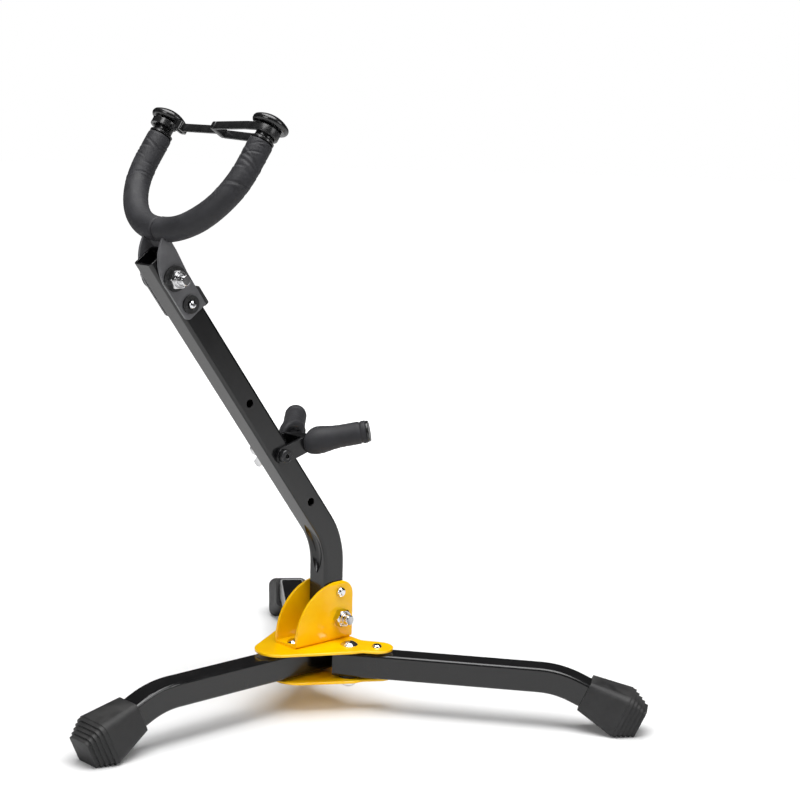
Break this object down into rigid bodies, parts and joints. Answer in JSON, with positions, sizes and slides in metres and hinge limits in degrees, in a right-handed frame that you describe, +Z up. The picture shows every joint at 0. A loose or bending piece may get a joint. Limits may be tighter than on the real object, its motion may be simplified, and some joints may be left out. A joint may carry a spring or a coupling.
{
  "type": "saxophone stand",
  "caption": "Folding tripod floor stand for a saxophone: padded yoke with retaining strap on a cranked mast, padded lower rest, snap-lock hub.",
  "frame": {"origin": "centre of the bounding box at floor level", "axes": "+Z up, -Y towards the player and the instrument, the fixed leg points to +Y, X across the stand"},
  "size_m": [0.45, 0.3866, 0.4716],
  "materials": {
    "yellow_coat": "glossy yellow powder coat",
    "black_coat": "glossy black powder coat",
    "zinc": "bright zinc plate",
    "chrome": "polished chrome",
    "dark_steel": "black oxide",
    "spring_steel": "blued spring steel",
    "nylon": "black nylon",
    "foot_rubber": "moulded black rubber",
    "foam": "closed-cell foam sleeve, charcoal",
    "knob_plastic": "satin black plastic",
    "strap_rubber": "smooth black rubber belt"
  },
  "bodies": {
    "hub": {"top_plate": "yellow_coat", "bottom_plate": "yellow_coat", "mast_bracket": "yellow_coat", "bracket_rivets": "chrome", "leg_rivets": "chrome", "leg_washers": "nylon", "back_leg": "black_coat", "back_foot": "foot_rubber", "mast_pivot_bolt": "zinc", "mast_pivot_nut": "zinc", "mast_pivot_washers": "nylon"},
    "left_leg": {"left_leg": "black_coat", "left_foot": "foot_rubber", "left_leg_spring": "spring_steel"},
    "right_leg": {"right_leg": "black_coat", "right_foot": "foot_rubber", "right_leg_spring": "spring_steel"},
    "left_button": {"left_leg_button": "chrome"},
    "right_button": {"right_leg_button": "chrome"},
    "mast": {"mast_tube": "black_coat", "mast_lock_spring": "spring_steel", "yoke_lock_spring": "spring_steel", "yoke_bumper": "foot_rubber", "rest_bolt": "dark_steel", "rest_washer": "nylon"},
    "mast_button": {"mast_lock_button": "chrome"},
    "yoke_button": {"yoke_lock_button": "chrome"},
    "yoke": {"yoke_bracket": "black_coat", "yoke_pivot_bolt": "zinc", "yoke_pivot_nut": "zinc", "yoke_pivot_washers": "nylon", "yoke_lock_ring": "nylon", "yoke_rod": "black_coat", "yoke_left_sleeve": "foam", "yoke_right_sleeve": "foam", "yoke_left_collar": "knob_plastic", "yoke_right_collar": "knob_plastic", "yoke_left_knob": "knob_plastic", "yoke_right_knob": "knob_plastic"},
    "strap": {"strap_band": "strap_rubber", "strap_hook": "knob_plastic"},
    "rest": {"rest_clevis": "black_coat", "rest_rod": "black_coat", "rest_left_grip": "foam", "rest_right_grip": "foam", "rest_left_cap": "knob_plastic", "rest_right_cap": "knob_plastic"},
    "wing_nut": {"wing_nut": "zinc"}
  },
  "joints": [
    {"name": "left_leg_fold", "type": "hinge", "parent": "hub", "child": "left_leg", "pos_m": [-0.028, -0.043, 0.039], "axis": [0, 0, -1], "range_deg": [0, 122.5], "deforming": ["left_leg_button"]},
    {"name": "right_leg_fold", "type": "hinge", "parent": "hub", "child": "right_leg", "pos_m": [0.028, -0.043, 0.039], "axis": [0, 0, 1], "range_deg": [0, 122.5], "deforming": ["right_leg_button"]},
    {"name": "left_button_press", "type": "slide", "parent": "left_leg", "child": "left_button", "axis": [0, 0, -1], "range_m": [0, 0.0058], "stiffness_N_per_m": 500, "springref_m": -0.006, "deforming": ["left_leg_spring"]},
    {"name": "right_button_press", "type": "slide", "parent": "right_leg", "child": "right_button", "axis": [0, 0, -1], "range_m": [0, 0.0058], "stiffness_N_per_m": 500, "springref_m": -0.006, "deforming": ["right_leg_spring"]},
    {"name": "mast_fold", "type": "hinge", "parent": "hub", "child": "mast", "pos_m": [0, -0.0462, 0.0713], "axis": [-1, 0, 0], "range_deg": [0, 58], "deforming": ["mast_lock_button"]},
    {"name": "mast_button_press", "type": "slide", "parent": "mast", "child": "mast_button", "axis": [1, 0, 0], "range_m": [0, 0.0055], "stiffness_N_per_m": 500, "springref_m": -0.006, "deforming": ["mast_lock_spring"]},
    {"name": "yoke_fold", "type": "hinge", "parent": "mast", "child": "yoke", "pos_m": [0, 0.11844, 0.35241], "axis": [1, 0, 0], "range_deg": [0, 100], "deforming": ["yoke_lock_button"]},
    {"name": "yoke_button_press", "type": "slide", "parent": "mast", "child": "yoke_button", "axis": [1, 0, 0], "range_m": [0, 0.006], "stiffness_N_per_m": 500, "springref_m": -0.006, "deforming": ["yoke_lock_spring"]},
    {"name": "strap_swing", "type": "hinge", "parent": "yoke", "child": "strap", "pos_m": [-0.06, 0.0742, 0.45743], "axis": [0, -0.5592, 0.829], "range_deg": [0, 110]},
    {"name": "rest_tilt", "type": "hinge", "parent": "mast", "child": "rest", "pos_m": [0, 0.01424, 0.21056], "axis": [-1, 0, 0], "range_deg": [-20, 40]},
    {"name": "wing_nut_spin", "type": "hinge", "parent": "mast", "child": "wing_nut", "pos_m": [0.027, 0.01424, 0.21056], "axis": [1, 0, 0], "continuous": true}
  ]
}
